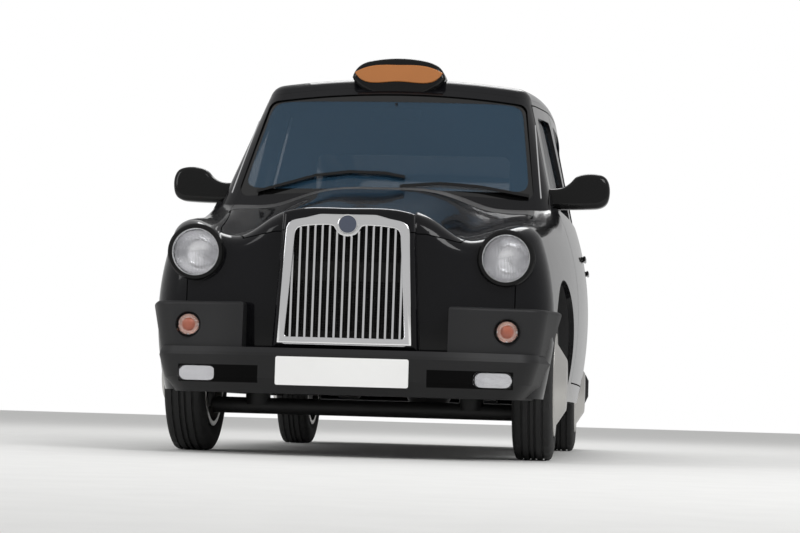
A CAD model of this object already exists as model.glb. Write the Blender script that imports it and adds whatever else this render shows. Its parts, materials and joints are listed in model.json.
"""A black taxi cab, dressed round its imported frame. Lengths are in metres."""

import json
from math import cos, hypot, pi, radians, sin

import bpy
from mathutils import Matrix, Vector


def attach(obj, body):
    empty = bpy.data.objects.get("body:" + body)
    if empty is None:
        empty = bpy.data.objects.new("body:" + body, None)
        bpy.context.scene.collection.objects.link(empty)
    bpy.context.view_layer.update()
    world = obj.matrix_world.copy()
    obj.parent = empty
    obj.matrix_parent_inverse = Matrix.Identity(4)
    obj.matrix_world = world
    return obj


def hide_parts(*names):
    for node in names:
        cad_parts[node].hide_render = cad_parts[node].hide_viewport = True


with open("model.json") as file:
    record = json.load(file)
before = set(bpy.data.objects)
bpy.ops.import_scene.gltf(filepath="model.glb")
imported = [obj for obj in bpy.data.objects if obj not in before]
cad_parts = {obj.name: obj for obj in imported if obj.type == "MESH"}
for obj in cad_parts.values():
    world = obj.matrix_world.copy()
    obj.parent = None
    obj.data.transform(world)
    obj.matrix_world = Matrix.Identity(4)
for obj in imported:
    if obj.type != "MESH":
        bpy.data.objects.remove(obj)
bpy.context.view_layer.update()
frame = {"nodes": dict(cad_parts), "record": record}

nodes = frame["nodes"]

bpy.ops.object.select_all(action="DESELECT")

# The photograph's camera; turns in degrees
camera_place = (1.187, -11.257, 0.186)
camera_yaw = 6.18
camera_pitch = 3.55
camera_roll = 1.67
focal_px = 2335
picture_px = 800
sensor_width = 36

# Studio: each light's name, place, aim, size and power
lights = (
    ("key", (4.5, -6.0, 5.5), (0, -0.5, 0.8), (4.0, 3.0), 260),
    ("fill", (-5.5, -5.0, 3.5), (0, -0.5, 0.8), (3.0, 4.0), 120),
    ("top", (0, 3.6, 6.0), (0, 1.2, 0), (3.5, 4.0), 160),
)
backdrop_white = 1.0
world_light = 0.62
gloss_dimming = 0.14
floor_size = 60

# Colours
black_paint = (0.004, 0.004, 0.005)
underseal = (0.012, 0.012, 0.013)
grey_plastic = (0.014, 0.014, 0.015)
bumper_grey = (0.0105, 0.0105, 0.011)
slot_black = (0.002, 0.002, 0.002)
gloss_black = (0.005, 0.005, 0.005)
ceramic_black = (0.004, 0.004, 0.004)
mesh_hole = (0.0006, 0.0006, 0.0006)
mesh_wall = (0.009, 0.0085, 0.008)
chrome = (0.86, 0.86, 0.87)
fog_silver = (0.66, 0.66, 0.67)
cover_silver = (0.5, 0.49, 0.47)
iron_grey = (0.05, 0.05, 0.05)
window_tint = (0.01, 0.018, 0.024)
screen_tint = (0.019, 0.05, 0.085)
lens_clear = (0.96, 0.96, 0.97)
lamp_white = (0.9, 0.9, 0.92)
sign_amber = (0.42, 0.15, 0.035)
indicator_amber = (0.86, 0.68, 0.62)
bulb_orange = (0.5, 0.14, 0.07)
tail_red = (0.4, 0.01, 0.01)
plate_white = (0.8, 0.8, 0.79)
rubber_black = (0.012, 0.012, 0.012)
cabin_grey = (0.035, 0.035, 0.038)
cloth_blue = (0.03, 0.033, 0.045)
badge_enamel = (0.05, 0.06, 0.09)
pale_floor = (0.72, 0.72, 0.71)

# Sides and directions
sides = ((1, "left"), (-1, "right"))
forward = (0, -1, 0)

# Lamps (across, up) and the dark slots beside the fog lamps
headlamp = (0.617, 0.795)
indicator = (0.63, 0.506)
fog_lamp = (0.582, 0.315)
fog_half_straight = 0.045
fog_end_radius = 0.028
fog_back = -2.2004
fog_depth = 0.0052
slot_ends = (0.33, 0.66)
slot_half_height = 0.034
bumper_back = -2.0
block_foot = 0.4

# Windscreen's clear part, which narrows upwards; all other glass lies behind screen_back
screen_middle = 1.385
screen_half_width = 0.607
screen_half_height = 0.222
screen_taper = 0.14
screen_back = -0.3

# Grille: foot and lean of its plane, then half outlines on the plane (across, up)
grille_foot = (0, -2.237, 0.436)
grille_lean = radians(2.2)
badge_height = 0.474
surround_outer = [
    (0.2645, 0.003), (0.2445, 0.44), (0.242, 0.459), (0.2345, 0.475), (0.221, 0.486), (0.203, 0.4915),
    (0.152, 0.5015), (0.1, 0.5075), (0.05, 0.511), (0, 0.512),
]
surround_inner = [
    (0.2265, 0.029), (0.233, 0.0315), (0.2355, 0.039), (0.2085, 0.43), (0.2055, 0.445), (0.197, 0.456),
    (0.18, 0.462), (0.14, 0.467), (0.1, 0.4695), (0.07, 0.47), (0.056, 0.4655), (0.049, 0.456),
    (0.042, 0.444), (0.03, 0.4335), (0.015, 0.4275), (0, 0.4255),
]

# Turned sections: radius, distance along the axis
badge_rim = [(0.0345, 0.012), (0.039, 0.012), (0.039, 0.0155), (0.0375, 0.0175), (0.0345, 0.017), (0.0345, 0.012)]
badge_disc = [(0, 0.012), (0.0345, 0.012), (0.0345, 0.0155), (0.022, 0.017), (0, 0.0175)]
headlamp_bowl = [
    (0.0893, 2.124), (0.087, 2.108), (0.08, 2.085), (0.069, 2.06), (0.05, 2.04), (0.02, 2.0335), (0, 2.033),
    (0, 2.0312), (0.053, 2.0312), (0.072, 2.058), (0.083, 2.084), (0.0893, 2.107), (0.0893, 2.124),
]
headlamp_rim = [
    (0.0908, 2.132), (0.0945, 2.132), (0.0945, 2.151), (0.0936, 2.1535), (0.0917, 2.1535), (0.0908, 2.15),
    (0.0908, 2.132),
]
headlamp_bulb = [(0, 2.083), (0.008, 2.081), (0.0115, 2.074), (0.0115, 2.05), (0.014, 2.034), (0, 2.034)]
indicator_bowl = [(0, 2.15), (0.0514, 2.15), (0.0514, 2.182), (0.0485, 2.182), (0.045, 2.168), (0, 2.168)]
indicator_back = [(0, 2.1655), (0.04, 2.1655), (0.04, 2.1682), (0, 2.1682)]
indicator_bulb = [(0, 2.1684), (0.024, 2.1684), (0.022, 2.1715), (0.014, 2.175), (0, 2.1765)]
indicator_glass = [
    (0, 2.1685), (0.041, 2.1685), (0.041, 2.178), (0.037, 2.186), (0.026, 2.1905), (0.012, 2.193), (0, 2.1935),
]
notch_place = (0.041, -2.18)
notch_radius = 0.0055
mirror_stem = [(0, 1.57), (0.006, 1.57), (0.006, 1.6), (0, 1.6)]

# Wheels (across, along), half of a tyre's section (radius, across), and its shoulder notches
wheel_height = 0.315
front_wheel = (0.715, -1.53)
rear_wheel = (0.71, 1.356)
tyre_wall = [(0.2045, 0.062), (0.243, 0.0815), (0.273, 0.0825), (0.297, 0.0765), (0.3085, 0.0705), (0.3128, 0.064)]
tyre_ribs = [
    (0.3145, 0.047), (0.3072, 0.0455), (0.3072, 0.038), (0.3148, 0.0365), (0.315, 0.0165), (0.3075, 0.015),
    (0.3075, 0.0075), (0.315, 0.006),
]
tyre_steps = 100
steps_per_notch = 3
notch_across = (0.04, 0.074)
notch_over = 0.3085
notch_scale = 0.982

# Door handles: each door's end, then where its grip starts and stops
handle_spans = (("front", -0.235, -0.075), ("rear", 0.885, 1.045))
handle_height = 0.93
handle_half_height = 0.013
handle_proud = (0.007, 0.019)
handle_edge = 0.006
foot_inset = 0.018
foot_root = -0.012
foot_tip = 0.01
foot_radii = (0.011, 0.009)
beside_cab = 1.3

# Door mirrors (across, up)
mirror_outline = [
    (0.705, 1.11), (0.8, 1.11), (0.9, 1.113), (0.95, 1.119), (0.979, 1.14), (0.99, 1.18), (0.987, 1.225),
    (0.968, 1.257), (0.93, 1.27), (0.88, 1.2695), (0.84, 1.257), (0.812, 1.228), (0.78, 1.209),
    (0.745, 1.202), (0.705, 1.202),
]
mirror_front = -0.8445
mirror_depth = 0.088
mirror_round = 0.026
glass_outline = [(0.79, 1.135), (0.955, 1.143), (0.968, 1.215), (0.945, 1.25), (0.86, 1.244), (0.8, 1.207)]
glass_front = -0.756
glass_depth = 0.0035

# Drip rails up the windscreen pillars
rail_foot = 1.14
rail_step = 0.041
rail_points = 12
rail_radius = 0.0035
rail_lift = 0.001
pillar_across = 0.694
pillar_foot = 1.122
pillar_taper = 0.142
before_cab = -3
rail_back = -0.2

# Seats: name, size, place, tilt in degrees, node, fill
driver_pads = (
    ("driver_cushion", (0.44, 0.45, 0.2), (-0.365, -0.335, 0.5), 5, "driver_seat", 0.7),
    ("driver_back", (0.44, 0.13, 0.56), (-0.365, -0.065, 0.8), -8, "driver_seat", 0.7),
    ("driver_headrest", (0.25, 0.09, 0.13), (-0.365, -0.03, 1.09), -8, "driver_seat", 0.9),
)
bench_places = ((-0.37, "right"), (0, "middle"), (0.37, "left"))
folding_places = ((-0.375, "right"), (0.375, "left"))
pad_cuts = 5
pad_edge = 0.74
pad_waist = 0.975
pad_corner = 0.02


def material_base(name):
    """A new material, its node tree, its shader and the place on the object."""
    material = bpy.data.materials.new(name)
    material.use_nodes = True
    tree = material.node_tree
    place = tree.nodes.new("ShaderNodeTexCoord")
    return material, tree, tree.nodes["Principled BSDF"], place.outputs["Object"]


def maths(tree, operation, a, b=0.0):
    """One Math node; a and b are sockets or numbers."""
    node = tree.nodes.new("ShaderNodeMath")
    node.operation = operation
    for slot, value in zip(node.inputs, (a, b)):
        if isinstance(value, (int, float)):
            slot.default_value = value
        else:
            tree.links.new(value, slot)
    return node.outputs[0]


def noise(tree, place, scale, detail=3.0):
    node = tree.nodes.new("ShaderNodeTexNoise")
    node.inputs["Scale"].default_value = scale
    node.inputs["Detail"].default_value = detail
    tree.links.new(place, node.inputs["Vector"])
    return node.outputs["Fac"]


def bump(tree, shader, height, strength, distance):
    node = tree.nodes.new("ShaderNodeBump")
    node.inputs["Strength"].default_value = strength
    node.inputs["Distance"].default_value = distance
    tree.links.new(height, node.inputs["Height"])
    tree.links.new(node.outputs["Normal"], shader.inputs["Normal"])


def spread(tree, value, low, high):
    """Stretches 0 to 1 to low to high."""
    node = tree.nodes.new("ShaderNodeMapRange")
    node.inputs["To Min"].default_value = low
    node.inputs["To Max"].default_value = high
    tree.links.new(value, node.inputs["Value"])
    return node.outputs["Result"]


def blend_colour(tree, mask, low, high):
    """Goes from one colour to another; low may also be a socket."""
    node = tree.nodes.new("ShaderNodeMix")
    node.data_type = "RGBA"
    if isinstance(low, tuple):
        node.inputs["A"].default_value = (*low, 1)
    else:
        tree.links.new(low, node.inputs["A"])
    node.inputs["B"].default_value = (*high, 1)
    tree.links.new(mask, node.inputs["Factor"])
    return node.outputs["Result"]


def split(tree, place):
    """The x, y and z of a place."""
    node = tree.nodes.new("ShaderNodeSeparateXYZ")
    tree.links.new(place, node.inputs["Vector"])
    return node.outputs


def scaled(colour, share):
    return tuple(min(c * share, 1.0) for c in colour)


def finish(
    name, colour, metal=0.0, rough=0.5, coat=0.0, grain=0.0, grain_scale=400.0, shine=0.5, coat_ior=1.5
):
    """A finish whose colour and roughness vary a little over the surface."""
    material, tree, shader, place = material_base(name)
    shader.inputs["Metallic"].default_value = metal
    shader.inputs["Coat Weight"].default_value = coat
    shader.inputs["Coat Roughness"].default_value = 0.03
    shader.inputs["Coat IOR"].default_value = coat_ior
    shader.inputs["Specular IOR Level"].default_value = shine
    patches = noise(tree, place, 5.0, 6.0)
    roughness = spread(tree, patches, max(rough - 0.04, 0.0), rough + 0.05)
    tree.links.new(roughness, shader.inputs["Roughness"])
    tree.links.new(blend_colour(tree, patches, colour, scaled(colour, 1.12)), shader.inputs["Base Color"])
    if grain:
        bump(tree, shader, noise(tree, place, grain_scale), grain, 0.0006)
    return material


def window_finish(name, tint, clear, bordered=False):
    """Thin tinted glass; the windscreen has a black ceramic border with round corners."""
    material, tree, shader, place = material_base(name)
    shader.inputs["Roughness"].default_value = 0.02
    shader.inputs["Specular IOR Level"].default_value = 0.6
    shader.inputs["Alpha"].default_value = clear
    haze = blend_colour(tree, noise(tree, place, 2.0, 2.0), tint, scaled(tint, 1.3))
    if not bordered:
        tree.links.new(haze, shader.inputs["Base Color"])
        return material
    x, y, z = split(tree, place)
    rise = maths(tree, "SUBTRACT", z, screen_middle)
    half = maths(tree, "SUBTRACT", screen_half_width, maths(tree, "MULTIPLY", rise, screen_taper))
    across = maths(tree, "DIVIDE", maths(tree, "ABSOLUTE", x), half)
    up = maths(tree, "DIVIDE", maths(tree, "ABSOLUTE", rise), screen_half_height)
    reach = maths(tree, "ADD", maths(tree, "POWER", across, 14.0), maths(tree, "POWER", up, 12.0))
    outside = maths(tree, "GREATER_THAN", reach, 1.0)
    border = maths(tree, "MULTIPLY", outside, maths(tree, "LESS_THAN", y, screen_back))
    tree.links.new(blend_colour(tree, border, haze, ceramic_black), shader.inputs["Base Color"])
    tree.links.new(spread(tree, border, clear, 1.0), shader.inputs["Alpha"])
    return material


def lens_finish(name, colour, flutes, clear=1.0):
    """A moulded lens with upright flutes on its inside."""
    material, tree, shader, place = material_base(name)
    shader.inputs["Transmission Weight"].default_value = clear
    shader.inputs["IOR"].default_value = 1.35
    shader.inputs["Roughness"].default_value = 0.02
    shade = blend_colour(tree, noise(tree, place, 30.0), colour, scaled(colour, 0.92))
    tree.links.new(shade, shader.inputs["Base Color"])
    wave = tree.nodes.new("ShaderNodeTexWave")
    wave.inputs["Scale"].default_value = flutes
    wave.inputs["Distortion"].default_value = 0.4
    tree.links.new(place, wave.inputs["Vector"])
    bump(tree, shader, wave.outputs["Fac"], 0.35, 0.002)
    return material


def bumper_finish():
    """Grained plastic, paler on the lamp blocks, with a dark slot inwards of each fog lamp."""
    material, tree, shader, place = material_base("bumper_plastic")
    x, y, z = split(tree, place)
    aside = maths(tree, "ABSOLUTE", x)
    past_inner = maths(tree, "GREATER_THAN", aside, slot_ends[0])
    along = maths(tree, "MULTIPLY", past_inner, maths(tree, "LESS_THAN", aside, slot_ends[1]))
    off_middle = maths(tree, "ABSOLUTE", maths(tree, "SUBTRACT", z, fog_lamp[1]))
    height = maths(tree, "LESS_THAN", off_middle, slot_half_height)
    front = maths(tree, "LESS_THAN", y, bumper_back)
    slot = maths(tree, "MULTIPLY", maths(tree, "MULTIPLY", along, height), front)
    plain = blend_colour(tree, maths(tree, "GREATER_THAN", z, block_foot), bumper_grey, grey_plastic)
    tree.links.new(blend_colour(tree, slot, plain, slot_black), shader.inputs["Base Color"])
    tree.links.new(spread(tree, noise(tree, place, 4.0, 5.0), 0.42, 0.56), shader.inputs["Roughness"])
    tree.links.new(spread(tree, slot, 0.28, 0.05), shader.inputs["Specular IOR Level"])
    bump(tree, shader, noise(tree, place, 700.0), 0.3, 0.0006)
    return material


def mesh_finish():
    """Black honeycomb mesh behind the bars."""
    material, tree, shader, place = material_base("honeycomb_mesh")
    cells = tree.nodes.new("ShaderNodeTexVoronoi")
    cells.feature = "DISTANCE_TO_EDGE"
    cells.inputs["Scale"].default_value = 95.0
    cells.inputs["Randomness"].default_value = 0.0
    tree.links.new(place, cells.inputs["Vector"])
    wall = maths(tree, "LESS_THAN", cells.outputs["Distance"], 0.14)
    tree.links.new(blend_colour(tree, wall, mesh_hole, mesh_wall), shader.inputs["Base Color"])
    tree.links.new(spread(tree, wall, 0.9, 0.6), shader.inputs["Roughness"])
    shader.inputs["Specular IOR Level"].default_value = 0.15
    bump(tree, shader, wall, 0.6, 0.002)
    return material


gloss = finish("gloss_trim", gloss_black, rough=0.14, coat=0.4, shine=0.15, coat_ior=1.35)
bright = finish("bright_chrome", chrome, metal=1.0, rough=0.07)
fog_bowl = finish("fog_bowl", fog_silver, metal=1.0, rough=0.12, grain=1.0, grain_scale=42)
satin_bowl = finish("lamp_bowl", chrome, metal=1.0, rough=0.16)
amber_lens = lens_finish("indicator_lens", indicator_amber, flutes=90.0, clear=0.97)
orange_bulb = finish("indicator_bulb", bulb_orange, rough=0.25, coat=0.5)
white_bulb = finish("bulb", lamp_white, rough=0.12, coat=0.5)
enamel = finish("badge_enamel", badge_enamel, rough=0.2, coat=0.6)
tyre_rubber = finish("tyre_rubber", rubber_black, rough=0.78, grain=0.5, grain_scale=500)
cabin = finish("cabin_plastic", cabin_grey, rough=0.6, grain=0.3)
cloth = finish("seat_cloth", cloth_blue, rough=0.9, grain=0.8, grain_scale=900)

by_slot = {
    "body_paint": finish("black_paint", black_paint, rough=0.22, coat=1.0, shine=0.05, coat_ior=1.3),
    "underbody": finish("underseal", underseal, rough=0.75, grain=0.3),
    "trim_plastic": finish("grained_trim", grey_plastic, rough=0.55, grain=0.35, grain_scale=800),
    "gloss_trim": gloss,
    "bright": bright,
    "alloy": finish("wheel_cover", cover_silver, metal=0.75, rough=0.34),
    "iron": finish("iron", iron_grey, metal=0.8, rough=0.55, grain=0.3),
    "window": window_finish("window", window_tint, 0.5),
    "lens": lens_finish("clear_lens", lens_clear, flutes=55.0),
    "amber": finish("sign_lens", sign_amber, rough=0.25, coat=0.5, grain=0.1, grain_scale=90),
    "red_lens": finish("red_lens", tail_red, rough=0.1, coat=0.8, grain=0.2, grain_scale=120),
    "white_plate": finish("plate_white", plate_white, rough=0.35),
    "tyre_rubber": tyre_rubber,
    "cabin_trim": cabin,
    "seat_cloth": cloth,
}
own_finish = {
    "grille_mesh": mesh_finish(),
    "bumper_front": bumper_finish(),
    "fixed_glass": window_finish("screen_glass", screen_tint, 0.55, bordered=True),
}
slot_of = {row["node"]: row["material_slot"] for row in frame["record"]["subparts"]}
for name, node in nodes.items():
    node.data.materials.clear()
    node.data.materials.append(own_finish.get(name, by_slot[slot_of[name]]))


def only(piece):
    """Leaves one piece selected and active."""
    bpy.ops.object.select_all(action="DESELECT")
    piece.select_set(True)
    bpy.context.view_layer.objects.active = piece


def shape(piece, kind, **values):
    """Adds one modifier and applies it."""
    only(piece)
    modifier = piece.modifiers.new(kind.lower(), kind)
    for key, value in values.items():
        setattr(modifier, key, value)
    bpy.ops.object.modifier_apply(modifier=modifier.name)


def soften(piece, width, segments, over, **values):
    """Rounds the edges that turn by more than an angle."""
    values = {"limit_method": "ANGLE", "angle_limit": radians(over), **values}
    shape(piece, "BEVEL", width=width, segments=segments, **values)


def cut(piece, cutter):
    """Takes one piece out of another."""
    shape(piece, "BOOLEAN", operation="DIFFERENCE", solver="EXACT", object=cutter)
    bpy.data.objects.remove(cutter)


def hang(piece, name, material, body="cab", smooth=35):
    """Names a finished piece, gives it its finish and lets it ride on a body."""
    only(piece)
    bpy.ops.object.transform_apply(location=True, rotation=True, scale=True)
    bpy.ops.object.shade_smooth_by_angle(angle=radians(smooth))
    piece.name = name
    piece.data.name = name
    piece.data.materials.clear()
    piece.data.materials.append(material)
    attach(piece, body)


def trace(points):
    """Draws a line by pushing one point from place to place, and stays in edit mode."""
    bpy.ops.object.select_all(action="DESELECT")
    bpy.ops.mesh.primitive_plane_add(size=0.001, location=(0, 0, 0))
    piece = bpy.context.object
    bpy.ops.object.mode_set(mode="EDIT")
    bpy.ops.mesh.select_all(action="SELECT")
    bpy.ops.mesh.merge(type="CENTER")
    bpy.ops.transform.translate(value=points[0])
    for start, end in zip(points, points[1:]):
        step = Vector(end) - Vector(start)
        bpy.ops.mesh.extrude_vertices_move(TRANSFORM_OT_translate={"value": step})
    bpy.ops.mesh.select_all(action="SELECT")
    return piece


def close_up():
    """Turns every face of the piece in edit mode outwards and leaves edit mode."""
    bpy.ops.mesh.normals_make_consistent(inside=False)
    bpy.ops.object.mode_set(mode="OBJECT")


def turn(section, centre, axis, steps=48):
    """Spins a section about an axis; columns: radius, distance along the axis."""
    axis = Vector(axis).normalized()
    out = axis.orthogonal().normalized()
    centre = Vector(centre)
    piece = trace([centre + out * r + axis * a for r, a in section])
    bpy.ops.mesh.spin(steps=steps, angle=2 * pi, center=centre, axis=axis)
    bpy.ops.mesh.select_all(action="SELECT")
    bpy.ops.mesh.remove_doubles(threshold=0.00002)
    close_up()
    return piece


def sheet_of(outline, push):
    """A flat outline pushed out to a thickness."""
    piece = trace([*outline, outline[0]])
    bpy.ops.mesh.remove_doubles(threshold=0.00001)
    bpy.ops.mesh.edge_face_add()
    bpy.ops.mesh.extrude_region_move(TRANSFORM_OT_translate={"value": push})
    bpy.ops.mesh.select_all(action="SELECT")
    close_up()
    return piece


def block(size, place):
    """A plain block, left selected and active."""
    bpy.ops.object.select_all(action="DESELECT")
    bpy.ops.mesh.primitive_cube_add(size=1, location=place)
    piece = bpy.context.object
    piece.scale = size
    bpy.ops.object.transform_apply(location=True, rotation=True, scale=True)
    return piece


def bar(low, high, edge):
    """A block with soft edges between two corners."""
    centre = [(a + b) / 2 for a, b in zip(low, high)]
    piece = block([b - a for a, b in zip(low, high)], centre)
    shape(piece, "BEVEL", width=edge, segments=3, limit_method="NONE")
    return piece


def mirrored(half):
    """A left half's points followed by their mirror images, in order round the outline."""
    return half + [(-x, v) for x, v in reversed(half) if x > 0.0001]


def curved(points, parts=4):
    """More points on the smooth curve through a few."""
    line = []
    ends = [points[0], *points, points[-1]]
    for a, b, c, d in zip(ends, ends[1:], ends[2:], ends[3:]):
        a, b, c, d = (Vector(v) for v in (a, b, c, d))
        for step in range(parts):
            t = step / parts
            place = 2 * b + (c - a) * t + (2 * a - 5 * b + 4 * c - d) * t**2
            place += (3 * b - 3 * c + d - a) * t**3
            line.append(tuple(place / 2))
    return line + [points[-1]]


def touch(node, start, way):
    """Where a straight line from start meets a CAD node."""
    hit, place, *_ = nodes[node].ray_cast(Vector(start), Vector(way).normalized())
    return place if hit else None


def on_grille(x, up, out=0.0):
    """A place on the grille's leaning plane."""
    return (
        x,
        grille_foot[1] + up * sin(grille_lean) - out * cos(grille_lean),
        grille_foot[2] + up * cos(grille_lean) + out * sin(grille_lean),
    )


def build_grille_surround():
    """The broad chrome face of the grille, whose opening dips round the badge."""
    out_dir = Vector(on_grille(0, 0, 1)) - Vector(on_grille(0, 0, 0))
    face = sheet_of([on_grille(x, v, 0.004) for x, v in mirrored(surround_outer)], out_dir * 0.0095)
    cut(face, sheet_of([on_grille(x, v, -0.02) for x, v in mirrored(surround_inner)], out_dir * 0.06))
    soften(face, 0.003, 3, 50)
    hang(face, "grille_surround", bright, smooth=40)
    centre = on_grille(0, badge_height)
    hang(turn(badge_rim, centre, out_dir, 56), "badge_rim", bright)
    hang(turn(badge_disc, centre, out_dir, 56), "badge_disc", enamel)


def build_headlamps():
    """A bowl, a chrome rim and a bulb behind each headlamp's lens."""
    for side, name in sides:
        centre = (side * headlamp[0], 0, headlamp[1])
        bowl = turn(headlamp_bowl, centre, forward, 64)
        hang(bowl, f"headlamp_bowl_{name}", satin_bowl, smooth=60)
        rim = turn(headlamp_rim, centre, forward, 64)
        hang(rim, f"headlamp_rim_{name}", bright, smooth=60)
        bulb = turn(headlamp_bulb, centre, forward, 24)
        hang(bulb, f"headlamp_bulb_{name}", white_bulb, smooth=50)


def build_indicators():
    """Round lenses with three notches, each over a bulb in a black bowl."""
    for side, name in sides:
        centre = (side * indicator[0], 0, indicator[1])
        hang(turn(indicator_bowl, centre, forward), f"indicator_bowl_{name}", gloss)
        hang(turn(indicator_back, centre, forward), f"indicator_back_{name}", fog_bowl)
        bulb = turn(indicator_bulb, centre, forward, 32)
        hang(bulb, f"indicator_bulb_{name}", orange_bulb, smooth=50)
        glass = turn(indicator_glass, centre, forward)
        for turn_by in (0, pi, -pi / 2):
            out, along = notch_place
            place = (centre[0] + out * cos(turn_by), along, centre[2] + out * sin(turn_by))
            bpy.ops.object.select_all(action="DESELECT")
            bpy.ops.mesh.primitive_cylinder_add(
                vertices=20, radius=notch_radius, depth=0.06, location=place, rotation=(pi / 2, 0, 0)
            )
            cut(glass, bpy.context.object)
        hang(glass, f"indicator_lens_{name}", amber_lens, smooth=50)
        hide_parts("indicator_lenses")


def build_fog_lamps():
    """The bright reflector of each fog lamp, with round ends."""
    x, z = fog_lamp
    turns = [(sway, start + pi * i / 8) for sway, start in ((1, 0), (-1, pi)) for i in range(9)]
    ends = [(sway * fog_half_straight + fog_end_radius * sin(a), fog_end_radius * cos(a)) for sway, a in turns]
    for side, name in sides:
        back = sheet_of([(side * x + u, fog_back, z + v) for u, v in ends], (0, -fog_depth, 0))
        hang(back, f"fog_reflector_{name}", fog_bowl)


def build_tyre():
    """A front left tyre with four grooves round it and notched shoulders."""
    half = tyre_wall + tyre_ribs
    section = half + [(r, -a) for r, a in reversed(half)] + [tyre_wall[0]]
    centre = (*front_wheel, wheel_height)
    tyre = turn(section, centre, (1, 0, 0), tyre_steps)
    only(tyre)
    bpy.ops.object.mode_set(mode="EDIT")
    bpy.ops.mesh.select_mode(type="VERT")
    bpy.ops.mesh.select_all(action="DESELECT")
    bpy.ops.object.mode_set(mode="OBJECT")
    for vertex in tyre.data.vertices:
        out = vertex.co - Vector(centre)
        on_shoulder = hypot(out.y, out.z) > notch_over and notch_across[0] < abs(out.x) < notch_across[1]
        step = round(Vector((out.y, out.z)).angle_signed(Vector((1, 0))) / (2 * pi) * tyre_steps)
        vertex.select = on_shoulder and step % steps_per_notch == 0
    bpy.ops.object.mode_set(mode="EDIT")
    bpy.ops.transform.resize(value=(1, notch_scale, notch_scale), center_override=centre)
    bpy.ops.object.mode_set(mode="OBJECT")
    return tyre


def build_tyres():
    """Four copies of one tyre, each on its own wheel."""
    first = build_tyre()
    for end, (x, y) in (("front", front_wheel), ("rear", rear_wheel)):
        for side, side_name in sides:
            tyre = first.copy()
            tyre.data = first.data.copy()
            bpy.context.scene.collection.objects.link(tyre)
            tyre.location = (side * x - front_wheel[0], y - front_wheel[1], 0)
            name = f"{end}_{side_name}"
            hang(tyre, f"tread_{name}", tyre_rubber, f"wheel_{name}_body", smooth=30)
            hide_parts(f"tyre_{name}")
    bpy.data.objects.remove(first)


def build_handles():
    """A black pull handle on each door, on two feet."""
    for side, side_name in sides:
        for end, y0, y1 in handle_spans:
            name = f"{end}_{side_name}"
            starts = [(side * beside_cab, y, handle_height) for y in (y0, y1)]
            places = [touch(f"door_{name}", start, (-side, 0, 0)) for start in starts]
            if None in places:
                continue
            out = max(abs(p.x) for p in places)
            near, far = out + foot_root, out + foot_tip
            across = sorted(side * (out + proud) for proud in handle_proud)
            low = (across[0], y0, handle_height - handle_half_height)
            high = (across[1], y1, handle_height + handle_half_height)
            body = f"door_{name}_body"
            hang(bar(low, high, handle_edge), f"handle_{name}", gloss, body, smooth=50)
            section = [(0, near), (foot_radii[0], near), (foot_radii[1], far), (0, far)]
            for foot, y in (("a", y0 + foot_inset), ("b", y1 - foot_inset)):
                post = turn(section, (0, y, handle_height), (side, 0, 0), 20)
                hang(post, f"handle_{name}_foot_{foot}", gloss, body, smooth=50)


def build_mirror_shells():
    """Gloss housings on a thick arm, with round edges."""
    outline = curved(mirror_outline)
    for side, name in sides:
        shell = sheet_of([(side * x, mirror_front, z) for x, z in outline], (0, mirror_depth, 0))
        soften(shell, mirror_round, 6, 60, use_clamp_overlap=False)
        hang(shell, f"mirror_shell_{name}", gloss, f"door_front_{name}_body", smooth=50)
        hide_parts(f"mirror_{name}")


def build_mirror_glasses():
    """The glass on the back of each mirror."""
    for side, name in sides:
        glass = sheet_of([(side * x, glass_front, z) for x, z in glass_outline], (0, glass_depth, 0))
        soften(glass, 0.0012, 2, 60)
        hang(glass, f"mirror_glass_{name}", bright, f"door_front_{name}_body")


def build_drip_rails():
    """Thin bright rails up both sides of the windscreen, laid on the pillars."""
    for side, side_name in sides:
        line = []
        for step in range(rail_points):
            z = rail_foot + step * rail_step
            x = side * (pillar_across - pillar_taper * (z - pillar_foot))
            hits = [touch(n, (x, before_cab, z), (0, 1, 0)) for n in ("body_sides", "roof")]
            hits = [h for h in hits if h and h.y < rail_back]
            if hits:
                line.append(min(hits, key=lambda h: h.y) - Vector((0, rail_lift, 0)))
        name = f"drip_rail_{side_name}"
        curve = bpy.data.curves.new(name, "CURVE")
        curve.dimensions = "3D"
        curve.bevel_depth = rail_radius
        curve.bevel_resolution = 3
        curve.use_fill_caps = True
        spline = curve.splines.new("POLY")
        spline.points.add(len(line) - 1)
        for point, place in zip(spline.points, line):
            point.co = (*place, 1)
        rail = bpy.data.objects.new(name, curve)
        bpy.context.scene.collection.objects.link(rail)
        only(rail)
        bpy.ops.object.convert(target="MESH")
        hang(bpy.context.object, name, bright, smooth=60)


def cushion(name, size, place, tilt, node, fill):
    """A crowned cushion: a block cut up, rounded and pulled in between its corners."""
    piece = block(size, (0, 0, 0))
    bpy.ops.object.mode_set(mode="EDIT")
    bpy.ops.mesh.select_all(action="SELECT")
    bpy.ops.mesh.subdivide(number_cuts=pad_cuts)
    bpy.ops.object.mode_set(mode="OBJECT")
    thin = min(range(3), key=lambda i: size[i])
    wide = [i for i in range(3) if i != thin]
    for vertex in piece.data.vertices:
        u, v = (2 * vertex.co[i] / size[i] for i in wide)
        vertex.co[thin] *= pad_edge + (1 - pad_edge) * (1 - u**4) * (1 - v**4)
        for i in wide:
            vertex.co[i] *= pad_waist + pad_corner * abs(u * v)
    piece.rotation_euler = (radians(tilt), 0, 0)
    piece.location = place
    shape(piece, "SUBSURF", levels=2, render_levels=2)
    hang(piece, name, cloth, smooth=80)
    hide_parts(node)


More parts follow.
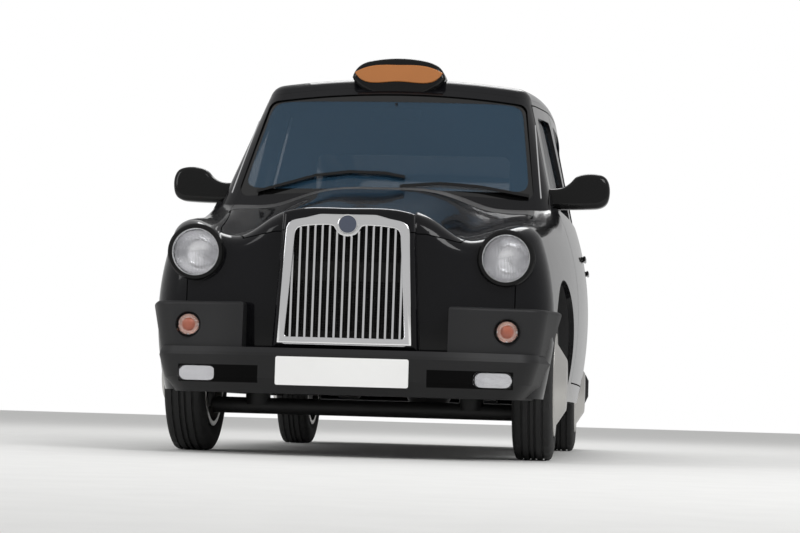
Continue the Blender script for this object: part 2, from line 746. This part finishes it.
def build_seats():
    """The driver's seat, the bench and the two folding seats."""
    for row in driver_pads:
        cushion(*row)
    plinth = bar((-0.56, -0.54, 0.362), (-0.17, -0.09, 0.42), 0.015)
    hang(plinth, "driver_seat_base", cabin)
    for x, name in bench_places:
        cushion(f"bench_{name}", (0.365, 0.46, 0.15), (x, 1.25, 0.612), 3, "passenger_seats", 0.7)
        cushion(f"bench_back_{name}", (0.365, 0.13, 0.46), (x, 1.61, 0.9), -19, "passenger_seats", 0.7)
    for x, name in folding_places:
        cushion(f"folding_seat_{name}", (0.36, 0.05, 0.385), (x, 0.202, 0.895), 0, "passenger_seats", 0.8)


def build_inner_mirror():
    """The mirror at the top of the windscreen, on its stem."""
    hang(bar((-0.115, -0.66, 1.515), (0.115, -0.635, 1.575), 0.008), "inner_mirror", gloss)
    stem = turn(mirror_stem, (0, -0.648, 0), (0, 0, 1), 16)
    hang(stem, "inner_mirror_stem", gloss)


def build_floor():
    """The pale floor."""
    bpy.ops.object.select_all(action="DESELECT")
    bpy.ops.mesh.primitive_plane_add(size=floor_size, location=(0, 0, 0))
    floor = bpy.context.object
    floor.name = "floor_sheet"
    floor.data.materials.append(finish("pale_floor", pale_floor, rough=0.85))


def build_world():
    """White to the camera and through glass, dimmer as light, and dimmer still in gloss."""
    world = bpy.data.worlds.new("studio")
    bpy.context.scene.world = world
    world.use_nodes = True
    tree = world.node_tree
    back = tree.nodes["Background"]
    path = tree.nodes.new("ShaderNodeLightPath")
    seen = maths(tree, "MAXIMUM", path.outputs["Is Camera Ray"], path.outputs["Is Transmission Ray"])
    in_gloss = maths(tree, "MULTIPLY", path.outputs["Is Glossy Ray"], gloss_dimming)
    level = maths(tree, "SUBTRACT", spread(tree, seen, world_light, backdrop_white), in_gloss)
    tree.links.new(level, back.inputs["Strength"])
    back.inputs["Color"].default_value = (1, 1, 1, 1)


def soft_light(name, place, aim, size, power):
    data = bpy.data.lights.new(name, "AREA")
    data.shape = "RECTANGLE"
    data.size, data.size_y = size
    data.energy = power
    lamp = bpy.data.objects.new(name, data)
    bpy.context.scene.collection.objects.link(lamp)
    lamp.location = place
    lamp.rotation_euler = (Vector(aim) - Vector(place)).to_track_quat("-Z", "Y").to_euler()


def build_camera():
    data = bpy.data.cameras.new("photo_camera")
    data.sensor_width = sensor_width
    data.lens = focal_px * sensor_width / picture_px
    camera = bpy.data.objects.new("photo_camera", data)
    bpy.context.scene.collection.objects.link(camera)
    yaw = Matrix.Rotation(radians(camera_yaw), 4, "Z")
    pitch = Matrix.Rotation(radians(90 + camera_pitch), 4, "X")
    roll = Matrix.Rotation(radians(camera_roll), 4, "Z")
    camera.matrix_world = Matrix.Translation(camera_place) @ yaw @ pitch @ roll
    bpy.context.scene.camera = camera


build_grille_surround()
build_headlamps()
build_indicators()
build_fog_lamps()
build_tyres()
build_handles()
build_mirror_shells()
build_mirror_glasses()
build_drip_rails()
build_seats()
build_inner_mirror()
build_floor()
build_world()
for light in lights:
    soft_light(*light)
build_camera()
bpy.context.scene.view_settings.view_transform = "Standard"
